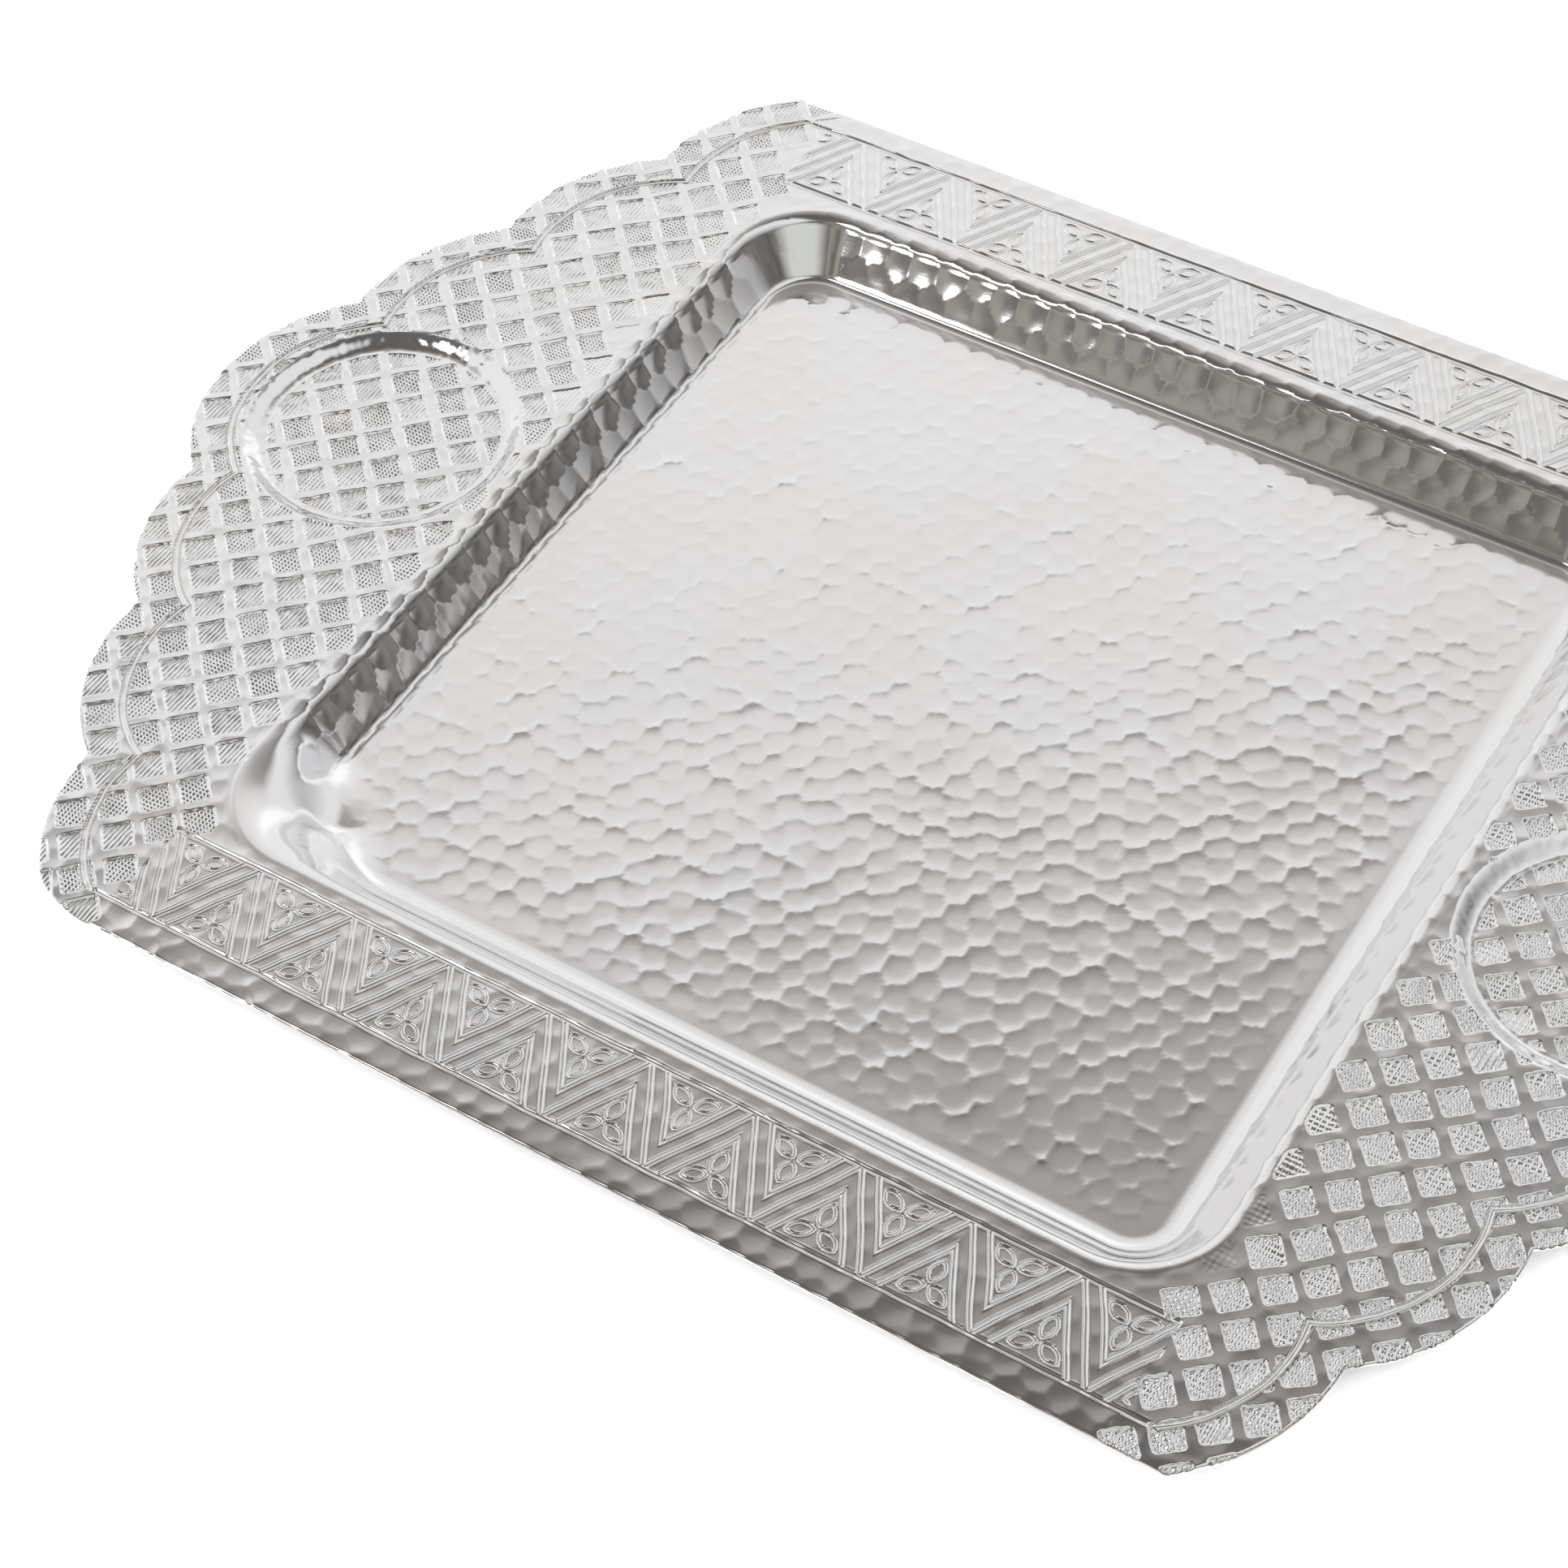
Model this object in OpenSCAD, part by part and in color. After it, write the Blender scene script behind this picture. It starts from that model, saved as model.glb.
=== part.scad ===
// Serving tray pressed from one sheet: a square well with sloping walls, two straight long sides
// with a chased zigzag band, and two scalloped ends that each hold a round cup recess.
// +X runs from end to end, +Y to the back, +Z up. The origin is under the middle of the well floor.

/* [Sheet] */
// Thickness of the sheet
sheet_t = 1.2; // [0.8:0.1:2]

/* [Well] */
// Length of the well mouth, end to end
well_l = 291; // [240:1:293]
// Width of the well mouth, front to back
well_w = 288; // [240:1:292]
// Depth from the rim down to the floor
well_depth = 17; // [14:0.5:23]
// Slope of the walls, in degrees from level
wall_slope = 55; // [45:1:70]
// Radius of the shoulder where the rim turns down
shoulder_r = 5; // [3:0.5:6]
// Radius of the fillet between wall and floor
fillet_r = 12; // [8:0.5:16]
// Radius of the mouth's corners in plan
mouth_corner_r = 28; // [28:1:40]

/* [Rim] */
// Width of the tray, front edge to back edge
tray_w = 367; // [355:1:400]
// Outer chased border line, from the middle of the tray
border_out_y = 174.7; // [165:0.1:174.9]
// Inner chased border line, from the middle of the tray
border_in_y = 147.9; // [147:0.1:152]
// Half length of the zigzag
band_half_l = 145; // [120:1:146]
// Period of the zigzag
zigzag_pitch = 30; // [20:1:40]
// Width of a chased line
groove_w = 1; // [0.6:0.1:1.6]
// Depth of a chased line
groove_d = 0.4; // [0.2:0.1:0.5]

/* [Scalloped ends] */
// Middle of the cup recess, from the middle of the tray
cup_x = 188.6; // [188:0.1:196]
// Radius of every scallop
scallop_r = 55; // [52:1:70]
// Radius of the cup recess at its mouth
cup_r = 40; // [30:0.5:40]
// Depth of the cup recess
cup_depth = 3.2; // [2:0.1:6]
// Width of the recess's sloping side
cup_side_w = 4; // [1:0.5:6]

/* [Hidden] */
$fn = 96;

rim_top = well_depth + sheet_t;
half_w = tray_w / 2;
mouth_x = well_l / 2;
mouth_y = well_w / 2;

// The wall's cross-section: a shoulder arc, a straight slope and a fillet arc.
shoulder_run = shoulder_r * sin(wall_slope);
shoulder_drop = shoulder_r * (1 - cos(wall_slope));
fillet_run = fillet_r * sin(wall_slope);
fillet_drop = fillet_r * (1 - cos(wall_slope));
slope_drop = well_depth - shoulder_drop - fillet_drop;
slope_run = slope_drop / tan(wall_slope);
wall_run = shoulder_run + slope_run + fillet_run;
floor_corner_r = mouth_corner_r - wall_run;
arc_steps = 10;

// The scalloped end. Its cusps go from the corner of the tray to the middle scallop, which is
// centred on the cup recess.
middle_cusp_y = 40;
middle_cusp_x = cup_x + sqrt(scallop_r * scallop_r - middle_cusp_y * middle_cusp_y);
cusp_half = [
    [161.3, half_w],
    [183.3, 139.2],
    [206.7, 89],
    [middle_cusp_x, middle_cusp_y]
];
cusps = concat(cusp_half, [for (i = [3:-1:0]) [cusp_half[i].x, -cusp_half[i].y]]);

scallop_steps = 14;

// The ring that joins the cup recess to the end.
cup_ring_w = 1.5;
cup_hole_r = cup_r + cup_ring_w;

metal = [0.80, 0.79, 0.77];
band_metal = [0.72, 0.71, 0.69];
end_metal = [0.76, 0.75, 0.72];
cup_metal = [0.84, 0.83, 0.80];
overlap = 1;

// ---------- Well ----------

module rounded_rect(length, width, r) {
    square([length - 2 * r, width], center = true);
    square([length, width - 2 * r], center = true);
    for (x = [-1, 1])
        for (y = [-1, 1])
            translate([x * (length / 2 - r), y * (width / 2 - r)])
                circle(r = r);
}

module well_floor() {
    color(metal)
        linear_extrude(sheet_t)
            rounded_rect(well_l - 2 * wall_run, well_w - 2 * wall_run, floor_corner_r);
}

// Points along an arc around a centre, from one angle to another.
function arc(centre, r, from, to, steps) =
    [for (i = [0:steps])
        let (t = from + (to - from) * i / steps)
        centre + r * [cos(t), sin(t)]];

// One face of the wall's cross-section, from the floor's edge to the edge of the mouth. The face
// lies below the top face by the given depth into the sheet.
function wall_face(depth) = concat(
    arc([0, fillet_r + sheet_t], fillet_r + depth, -90, wall_slope - 90, arc_steps),
    arc([wall_run, rim_top - shoulder_r], shoulder_r - depth, 90 + wall_slope, 90, arc_steps)
);

// Cross-section of the wall. x = 0 is the floor's edge, x = wall_run is the edge of the mouth,
// and y = 0 is the underside of the floor.
module wall_section() {
    under = wall_face(sheet_t);
    last = len(under) - 1;
    polygon(concat(wall_face(0), [for (i = [last:-1:0]) under[i]]));
}

module straight_wall(length) {
    rotate([90, 0, 90])
        translate([0, 0, -length / 2])
            linear_extrude(length)
                wall_section();
}

module corner_wall() {
    rotate_extrude(angle = 90)
        translate([floor_corner_r, 0])
            wall_section();
}

wall_x_length = well_l - 2 * mouth_corner_r;
wall_y_length = well_w - 2 * mouth_corner_r;

module well_wall_back() {
    color(metal)
        translate([0, mouth_y - wall_run, 0])
            straight_wall(wall_x_length);
}

module well_wall_front() {
    mirror([0, 1, 0])
        well_wall_back();
}

module well_wall_left() {
    color(metal)
        rotate(90)
            translate([0, mouth_x - wall_run, 0])
                straight_wall(wall_y_length);
}

module well_wall_right() {
    mirror([1, 0, 0])
        well_wall_left();
}

module well_corner_back_right() {
    color(metal)
        translate([mouth_x - mouth_corner_r, mouth_y - mouth_corner_r, 0])
            corner_wall();
}

module well_corner_back_left() {
    mirror([1, 0, 0])
        well_corner_back_right();
}

module well_corner_front_right() {
    mirror([0, 1, 0])
        well_corner_back_right();
}

module well_corner_front_left() {
    mirror([1, 0, 0])
        well_corner_front_right();
}

// ---------- Long sides ----------

// A chased line between two points of the rim.
module groove(a, b) {
    d = b - a;
    translate([a.x, a.y, rim_top - groove_d])
        rotate(atan2(d.y, d.x))
            translate([0, -groove_w / 2, 0])
                cube([norm(d), groove_w, groove_d + overlap]);
}

// The band's two border lines and the zigzag between them.
module band_grooves() {
    line_end = mouth_x + overlap;
    for (y = [border_in_y, border_out_y])
        groove([-line_end, y], [line_end, y]);
    half_teeth = ceil(band_half_l / zigzag_pitch - 0.5);
    for (i = [-half_teeth:half_teeth])
        for (side = [-1, 1])
            groove([i * zigzag_pitch, border_in_y],
                   [(i + side / 2) * zigzag_pitch, border_out_y]);
}

module rim_back() {
    color(band_metal)
        difference() {
            translate([0, 0, rim_top - sheet_t])
                linear_extrude(sheet_t)
                    difference() {
                        translate([-mouth_x, mouth_y - mouth_corner_r])
                            square([well_l, half_w - mouth_y + mouth_corner_r]);
                        rounded_rect(well_l, well_w, mouth_corner_r);
                    }
            band_grooves();
        }
}

module rim_front() {
    mirror([0, 1, 0])
        rim_back();
}

// ---------- Scalloped ends ----------

// Points along the scallop from one cusp to the next, without the first cusp.
function scallop(a, b) =
    let (chord = b - a,
         inward = [chord.y, -chord.x] / norm(chord),
         rise = sqrt(scallop_r * scallop_r - norm(chord) * norm(chord) / 4),
         centre = (a + b) / 2 + inward * rise,
         half_turn = asin(norm(chord) / 2 / scallop_r),
         middle = atan2(-inward.y, -inward.x))
    [for (i = [1:scallop_steps])
        let (t = middle + half_turn * (1 - 2 * i / scallop_steps))
        centre + scallop_r * [cos(t), sin(t)]];

module end_outline() {
    scallops = [for (i = [0:len(cusps) - 2]) each scallop(cusps[i], cusps[i + 1])];
    polygon(concat([[mouth_x, half_w], cusps[0]], scallops, [[mouth_x, -half_w]]));
}

module wing_right() {
    color(end_metal)
        translate([0, 0, rim_top - sheet_t])
            difference() {
                linear_extrude(sheet_t)
                    end_outline();
                translate([cup_x, 0, -overlap])
                    cylinder(r = cup_hole_r, h = sheet_t + 2 * overlap);
            }
}

module wing_left() {
    mirror([1, 0, 0])
        wing_right();
}

module cup_recess_right() {
    top = rim_top;
    floor_r = cup_r - cup_side_w;
    under_r = floor_r + sheet_t;
    color(cup_metal)
        translate([cup_x, 0, 0])
            rotate_extrude()
                polygon([
                    [0, top - cup_depth - sheet_t],
                    [under_r, top - cup_depth - sheet_t],
                    [cup_hole_r, top - sheet_t],
                    [cup_hole_r, top],
                    [cup_r, top],
                    [floor_r, top - cup_depth],
                    [0, top - cup_depth]
                ]);
}

module cup_recess_left() {
    mirror([1, 0, 0])
        cup_recess_right();
}

well_floor();
well_wall_front();
well_wall_back();
well_wall_left();
well_wall_right();
well_corner_front_left();
well_corner_front_right();
well_corner_back_left();
well_corner_back_right();
rim_front();
rim_back();
wing_left();
wing_right();
cup_recess_left();
cup_recess_right();
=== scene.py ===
"""Serving tray pressed from one sheet, hammered, chased and plated silver-coloured.

The whole top face is one height function of the plan position. Each zone of the tray samples it on
its own grid, so neighbouring zones meet at the same height. Lengths are in millimetres until a mesh
is made. The stage, the lights and the camera are in metres.
"""
import math

import bpy
import numpy as np
from mathutils import Matrix, Vector


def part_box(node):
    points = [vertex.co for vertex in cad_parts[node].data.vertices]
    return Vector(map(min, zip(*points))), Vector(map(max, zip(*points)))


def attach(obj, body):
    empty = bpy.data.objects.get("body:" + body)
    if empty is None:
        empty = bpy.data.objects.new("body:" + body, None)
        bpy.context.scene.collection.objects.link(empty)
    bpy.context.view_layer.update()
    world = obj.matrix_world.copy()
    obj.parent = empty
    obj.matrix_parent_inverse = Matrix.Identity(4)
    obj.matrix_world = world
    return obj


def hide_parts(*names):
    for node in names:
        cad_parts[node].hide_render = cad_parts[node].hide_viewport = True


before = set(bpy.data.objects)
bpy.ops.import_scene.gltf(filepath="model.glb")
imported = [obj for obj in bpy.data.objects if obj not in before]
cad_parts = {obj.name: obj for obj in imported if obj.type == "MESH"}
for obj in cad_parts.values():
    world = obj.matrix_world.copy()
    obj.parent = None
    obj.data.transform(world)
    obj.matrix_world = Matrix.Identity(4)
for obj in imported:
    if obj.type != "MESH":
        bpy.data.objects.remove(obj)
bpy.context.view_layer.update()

MM = 0.001
TAU = 2 * math.pi


def cad_mm(node):
    """Lowest and highest corner of a CAD node, in millimetres."""
    low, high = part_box(node)
    return np.array(low) / MM, np.array(high) / MM


# ---------- Sizes from the frame ----------

floor_low, floor_high = cad_mm("well_floor")
wing_high = cad_mm("wing_right")[1]
cup_low, cup_high = cad_mm("cup_recess_right")
corner_low, corner_high = cad_mm("well_corner_back_right")
SHEET = floor_high[2] - floor_low[2]
RIM_TOP = wing_high[2]
WELL_DEPTH = RIM_TOP - SHEET
MOUTH_X, MOUTH_Y = corner_high[0], corner_high[1]
MOUTH_CORNER_R = corner_high[0] - corner_low[0]
WALL_RUN = MOUTH_X - floor_high[0]
HALF_W = wing_high[1]
CUP_X = (cup_low[0] + cup_high[0]) / 2
CUP_HOLE_R = (cup_high[0] - cup_low[0]) / 2
CUP_RING_W = 1.5
CUP_R = CUP_HOLE_R - CUP_RING_W
CUP_DEPTH = RIM_TOP - SHEET - cup_low[2]

# ---------- Sizes that the frame's boxes don't hold ----------

WALL_SLOPE = math.radians(55)
SHOULDER_R = 5
FILLET_R = 12
TIGHT_SLOPE = math.radians(60)
TIGHT_FILLET_R = 3
SOFT_CORNER_REACH = 52
SOFT_CORNER_FADE = 26
SOFT_WALL_RUN = 34
EDGE_DROP = 0.65
CUP_SIDE_W = 6.4
CUP_SIDE_START = 1

SCALLOP_R = 55
SCALLOP_CUSPS = [(161.3, HALF_W), (183.3, 139.2), (206.7, 89)]
MIDDLE_CUSP_Y = 40
WORN_CORNER_R = 7
SCALLOP_LINE_INSET = 11.5
SCALLOP_LINE_START = 151.5

BORDER_IN = 147.9
BORDER_OUT = 174.7
BAND_END = 146.5
LINE_W = 1.5
LINE_EDGE_SLOPE = math.radians(54)
BURR_HEIGHT = 0.07
# Where a burr's crest lies and how wide it is, in half widths of its line
BURR_PLACE = 1.25
BURR_WIDTH = 0.28

# Grid steps of the shells
LINE_STEP = 0.3
FINE = 0.4
WALL_STEP = 0.8
CORNER_STEP = 0.6 * WALL_STEP
FLOOR_STEP = 1.15


# ---------- Number helpers ----------

def smooth(t):
    """0 below 0, 1 above 1, and a smooth step between."""
    t = np.clip(t, 0, 1)
    return t * t * (3 - 2 * t)


def blend(a, b, share):
    """a where the share is 0, b where it is 1, and a mix between."""
    return a + (b - a) * share


TABLE_SIZE = 61
tables = {}


def random_table(seed):
    """A fixed table of numbers from 0 to 1 for each seed."""
    if seed not in tables:
        tables[seed] = np.random.default_rng(seed).uniform(0, 1, (TABLE_SIZE, TABLE_SIZE))
    return tables[seed]


def cell_random(i, j, seed):
    """A number from 0 to 1 for each whole-number cell."""
    return random_table(seed)[np.mod(i, TABLE_SIZE).astype(int), np.mod(j, TABLE_SIZE).astype(int)]


def spread(i, j, seed, width):
    """A number for each whole-number cell, spread over the given width around 0."""
    return width * (cell_random(i, j, seed) - 0.5)


def noise(x, y, size, seed):
    """Smooth noise from -1 to 1 with blobs of about the given size."""
    i, j = np.floor(x / size), np.floor(y / size)
    s, t = smooth(x / size - i), smooth(y / size - j)
    low = cell_random(i, j, seed) * (1 - s) + cell_random(i + 1, j, seed) * s
    high = cell_random(i, j + 1, seed) * (1 - s) + cell_random(i + 1, j + 1, seed) * s
    return 2 * (low * (1 - t) + high * t) - 1


MARK_JITTER = 0.4
MARK_SINK = 0.12


def hammer_marks(x, y, pitch, ball_r, soft, seed, flat=0):
    """Height of a surface covered in round hammer marks: 0 at a mark's middle, more at its ridges.

    The marks go from ball-shaped to flat-bottomed as flat goes from 0 to 1. The ridges are rounded
    more as soft grows.
    """
    row_pitch = pitch * math.sqrt(3) / 2
    row = np.round(y / row_pitch)
    total = 0
    for step_y in (-1, 0, 1):
        j = row + step_y
        shift = np.mod(j, 2) / 2
        column = np.round(x / pitch - shift)
        for step_x in (-1, 0, 1):
            i = column + step_x
            mark_x = (i + shift + spread(i, j, seed, MARK_JITTER)) * pitch
            mark_y = (j + spread(i, j, seed + 1, MARK_JITTER)) * row_pitch
            sink = spread(i, j, seed + 2, MARK_SINK)
            reach = ((x - mark_x) ** 2 + (y - mark_y) ** 2) / (pitch / 2) ** 2
            bowl = reach * (1 - flat + flat * reach) * (pitch / 2) ** 2 / (2 * ball_r)
            total = total + np.exp(-(bowl + sink) / soft)
    return -soft * np.log(total)


def chased_line(distance, width=LINE_W):
    """Relief of a round-bottomed chased line with a burr along both sides, by distance from its middle."""
    half_w = width / 2
    r = half_w / math.sin(LINE_EDGE_SLOPE)
    t = np.abs(distance) / half_w
    bottom = np.sqrt(r ** 2 - (half_w * np.minimum(t, 1)) ** 2) - r * math.cos(LINE_EDGE_SLOPE)
    burr = BURR_HEIGHT * np.exp(-((t - BURR_PLACE) / BURR_WIDTH) ** 2)
    return burr - bottom


def deeper(a, b):
    """The deeper of two chased reliefs, or the higher burr where neither is cut."""
    low = np.minimum(a, b)
    return np.where(low < 0, low, np.maximum(a, b))


# ---------- Plan shapes, as signed distances that are negative inside ----------

def rounded_rect(x, y, half_x, half_y, r):
    """Signed distance to a rounded rectangle around the origin."""
    dx = np.abs(x) - (half_x - r)
    dy = np.abs(y) - (half_y - r)
    return np.hypot(np.maximum(dx, 0), np.maximum(dy, 0)) + np.minimum(np.maximum(dx, dy), 0) - r


def mouth(x, y):
    """Signed distance to the edge of the well's mouth."""
    return rounded_rect(x, y, MOUTH_X, MOUTH_Y, MOUTH_CORNER_R)


def floor_edge(x, y):
    """Signed distance to the edge of the well's floor."""
    return rounded_rect(x, y, MOUTH_X - WALL_RUN, MOUTH_Y - WALL_RUN, MOUTH_CORNER_R - WALL_RUN)


def cup_distance(x, y):
    """Distance from the middle of the nearer cup recess."""
    return np.hypot(np.abs(x) - CUP_X, y)


def scallop_centres():
    """Middles of the seven scallops of the right end."""
    middle_cusp = (CUP_X + math.sqrt(SCALLOP_R ** 2 - MIDDLE_CUSP_Y ** 2), MIDDLE_CUSP_Y)
    cusps = SCALLOP_CUSPS + [middle_cusp]
    centres = [(CUP_X, 0.0)]
    for a, b in zip(cusps, cusps[1:]):
        chord = np.subtract(b, a)
        length = np.hypot(*chord)
        inward = np.array([chord[1], -chord[0]]) / length
        rise = math.sqrt(SCALLOP_R ** 2 - length ** 2 / 4)
        x, y = (np.add(a, b)) / 2 + inward * rise
        centres += [(x, y), (x, -y)]
    return centres


CENTRES = scallop_centres()


def scallops(x, y, inset=0):
    """Signed distance to the scalloped outline of the ends, or to a line inset from it."""
    nearest = np.min([np.hypot(np.abs(x) - cx, y - cy) for cx, cy in CENTRES], axis=0)
    return nearest - (SCALLOP_R - inset)


def outline(x, y):
    """Signed distance to the tray's outline, good near the edge. The front left corner is worn round."""
    side = np.abs(y) - HALF_W
    end = np.where(np.abs(x) > MOUTH_X, scallops(x, y), -SCALLOP_R)
    r = np.where((x < 0) & (y < 0), WORN_CORNER_R, 0)
    inner = np.minimum(np.maximum(side, end) + r, 0)
    return inner + np.hypot(np.maximum(side + r, 0), np.maximum(end + r, 0)) - r


# ---------- The smooth pressed shape ----------

def tight_share(x, y):
    """1 along the left and back walls, 0 along the other two, and between those in two corners."""
    past_x = np.maximum(np.abs(x) - (MOUTH_X - MOUTH_CORNER_R), 0)
    past_y = np.maximum(np.abs(y) - (MOUTH_Y - MOUTH_CORNER_R), 0)
    turn = smooth(np.arctan2(past_y, past_x) / (math.pi / 2))
    return np.where(x < 0, 1 - turn, 0) + np.where(y > 0, turn, 0)


def wall_profile(u, share):
    """Height below the rim at a distance in from the edge of the mouth. Hammering made two walls tight."""
    wall_slope = blend(WALL_SLOPE, TIGHT_SLOPE, share)
    fillet_r = blend(FILLET_R, TIGHT_FILLET_R, share)
    shoulder_run = SHOULDER_R * np.sin(wall_slope)
    shoulder_drop = SHOULDER_R * (1 - np.cos(wall_slope))
    fillet_run = fillet_r * np.sin(wall_slope)
    fillet_drop = fillet_r * (1 - np.cos(wall_slope))
    slope_run = (WELL_DEPTH - shoulder_drop - fillet_drop) / np.tan(wall_slope)
    run = shoulder_run + slope_run + fillet_run
    v = np.clip(run - u, 0, fillet_run)
    shoulder = np.sqrt(SHOULDER_R ** 2 - np.clip(u, 0, shoulder_run) ** 2) - SHOULDER_R
    slope = -shoulder_drop - (u - shoulder_run) * np.tan(wall_slope)
    fillet = fillet_r - np.sqrt(fillet_r ** 2 - v ** 2) - WELL_DEPTH
    return np.where(u < shoulder_run, shoulder, np.where(u < run - fillet_run, slope, fillet))


def soft_share(x, y):
    """1 at the front left corner of the well, which is worn to a gentle slope, and 0 away from it."""
    from_corner = np.hypot(x + MOUTH_X, y + MOUTH_Y)
    return smooth((SOFT_CORNER_REACH - from_corner) / SOFT_CORNER_FADE)


def pressed(x, y):
    """Top face of the sheet before hammering and chasing."""
    inside = -mouth(x, y)
    soft = soft_share(x, y)
    worn_drop = WELL_DEPTH * smooth(inside / SOFT_WALL_RUN)
    well = (1 - soft) * wall_profile(inside, tight_share(x, y)) - soft * worn_drop
    cup = -CUP_DEPTH * smooth((CUP_R + CUP_SIDE_START - cup_distance(x, y)) / CUP_SIDE_W)
    past_band = np.maximum(-y - BORDER_IN, 0) / (HALF_W - BORDER_IN)
    return RIM_TOP + well + cup - EDGE_DROP * past_band ** 4


# ---------- Hammering ----------

# Each kind of hammer mark, and the mean height that is taken off it
FLOOR_MARKS = {"pitch": 7.9, "ball_r": 27, "soft": 0.1, "seed": 13, "flat": 0.7}
FLOOR_MARK_LEVEL = 0.3
WALL_MARKS = {"pitch": 9.0, "ball_r": 24, "soft": 0.04, "seed": 23}
WALL_MARK_LEVEL = 0.35
RIM_MARKS = {"pitch": 7.6, "ball_r": 50, "soft": 0.05, "seed": 31}
RIM_MARK_LEVEL = 0.14

FLOOR_STRENGTH_BACK_LEFT = 0.26
FLOOR_STRENGTH_FRONT_RIGHT = 0.36
# Where the floor's marks start, in from the mouth, and the width over which they fade in
FLOOR_START_FRONT_RIGHT = 19.5
FLOOR_START_BACK_LEFT = 15.0
FLOOR_FADE_FRONT_RIGHT = 10
FLOOR_FADE_BACK_LEFT = 5
# Distance along y - x over which the start moves, and along x - y over which the marks deepen
FLOOR_START_W = 80
FLOOR_DEEPEN_FROM = -100
FLOOR_DEEPEN_W = 260
FLOOR_WARP = 2.4
FLOOR_WARP_SIZE = 23
FLOOR_SAG = 0.3
FLOOR_SAG_SIZE = 62
FLOOR_SAG_FADE = 40

WALL_STRENGTH_LEFT = 0.95
WALL_STRENGTH_RIGHT = 0.6
WALL_STRENGTH_BACK = 0.6
WALL_STRENGTH_FRONT = 0.1
WALL_STRENGTH_CORNER = 0.1
# Where the walls' marks end, in from the mouth, on the front and back and on the left and right
WALL_FOOT_FRONT_BACK = 12.5
WALL_FOOT_LEFT_RIGHT = 16.0
WALL_TOP_FADE = 3
WALL_FOOT_FADE = 5
WALL_CORNER_REACH = 10
WALL_CORNER_FADE = 14
WALL_MARK_STRETCH = 1.5
WALL_MARK_SHIFT = 7.0

RIM_WARP_SIZE = 17
RIM_STRENGTH = 0.85
FRONT_STRIP_STRENGTH = 1.45
FRONT_STRIP_FADE = 3


def floor_hammering(x, y):
    """Hammer marks on the floor: deep towards the front right, faint towards the back left."""
    inside = -mouth(x, y)
    back_left = smooth((y - x) / FLOOR_START_W + 0.5)
    start = blend(FLOOR_START_FRONT_RIGHT, FLOOR_START_BACK_LEFT, back_left)
    fade = smooth((inside - start) / blend(FLOOR_FADE_FRONT_RIGHT, FLOOR_FADE_BACK_LEFT, back_left))
    front_right = smooth((x - y - FLOOR_DEEPEN_FROM) / FLOOR_DEEPEN_W)
    strength = blend(FLOOR_STRENGTH_BACK_LEFT, FLOOR_STRENGTH_FRONT_RIGHT, front_right)
    warp_x = x + FLOOR_WARP * noise(x, y, FLOOR_WARP_SIZE, 11)
    warp_y = y + FLOOR_WARP * noise(x, y, FLOOR_WARP_SIZE, 12)
    marks = hammer_marks(warp_x, warp_y, **FLOOR_MARKS) - FLOOR_MARK_LEVEL
    sag = FLOOR_SAG * noise(x, y, FLOOR_SAG_SIZE, 14) * smooth((inside - WALL_RUN) / FLOOR_SAG_FADE)
    return fade * (1 - soft_share(x, y)) * strength * marks + sag


def wall_hammering(x, y):
    """Hammer marks on the walls, which are deepest on the left one."""
    inside = -mouth(x, y)
    along_x = MOUTH_Y - np.abs(y) < MOUTH_X - np.abs(x)
    along = np.where(along_x, x, y)
    front_or_back = np.where(y > 0, WALL_STRENGTH_BACK, WALL_STRENGTH_FRONT)
    left_or_right = np.where(x > 0, WALL_STRENGTH_RIGHT, WALL_STRENGTH_LEFT)
    past = np.maximum(MOUTH_X - np.abs(x), MOUTH_Y - np.abs(y))
    corner = smooth((MOUTH_CORNER_R + WALL_CORNER_REACH - past) / WALL_CORNER_FADE)
    strength = blend(np.where(along_x, front_or_back, left_or_right), WALL_STRENGTH_CORNER, corner)
    foot = np.where(along_x, WALL_FOOT_FRONT_BACK, WALL_FOOT_LEFT_RIGHT)
    fade_in = smooth((inside + WALL_TOP_FADE / 2) / WALL_TOP_FADE)
    fade = fade_in * smooth((foot - inside) / WALL_FOOT_FADE)
    down = WALL_MARK_STRETCH * inside + np.where(along_x, WALL_MARK_SHIFT, 0.0)
    marks = hammer_marks(along, down, **WALL_MARKS) - WALL_MARK_LEVEL
    return fade * (1 - soft_share(x, y)) * strength * marks


def rim_hammering(x, y):
    """The light planishing of the flat rim, which is rougher on the strip along the front edge."""
    warp_x = x + noise(x, y, RIM_WARP_SIZE, 32)
    warp_y = y + noise(x, y, RIM_WARP_SIZE, 33)
    strength = blend(RIM_STRENGTH, FRONT_STRIP_STRENGTH, smooth((-y - BORDER_OUT) / FRONT_STRIP_FADE))
    return strength * (hammer_marks(warp_x, warp_y, **RIM_MARKS) - RIM_MARK_LEVEL)


# ---------- Chased band on the long sides ----------

ZIGZAG_PITCH_FRONT = 30.0
ZIGZAG_START_FRONT = -133.9
ZIGZAG_PITCH_BACK = 31.4
ZIGZAG_START_BACK = -133.1
BAND_W = BORDER_OUT - BORDER_IN
INNER_LINE_GAP = 4.2
PETAL_BASE = 6.5
PETAL_LENGTH = 6.3
PETAL_HALF_W = 1.75
PETAL_START = 0.9
PETAL_LINE_W = 1.0
TREFOIL_SHIFT = 0.5
LINE_WOBBLE_ALONG = 0.45
LINE_WOBBLE_ACROSS = 0.25
LINE_END_W = 0.8
ZIGZAG_END_W = 0.6
OUTER_BORDER_EXTRA = 6


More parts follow.
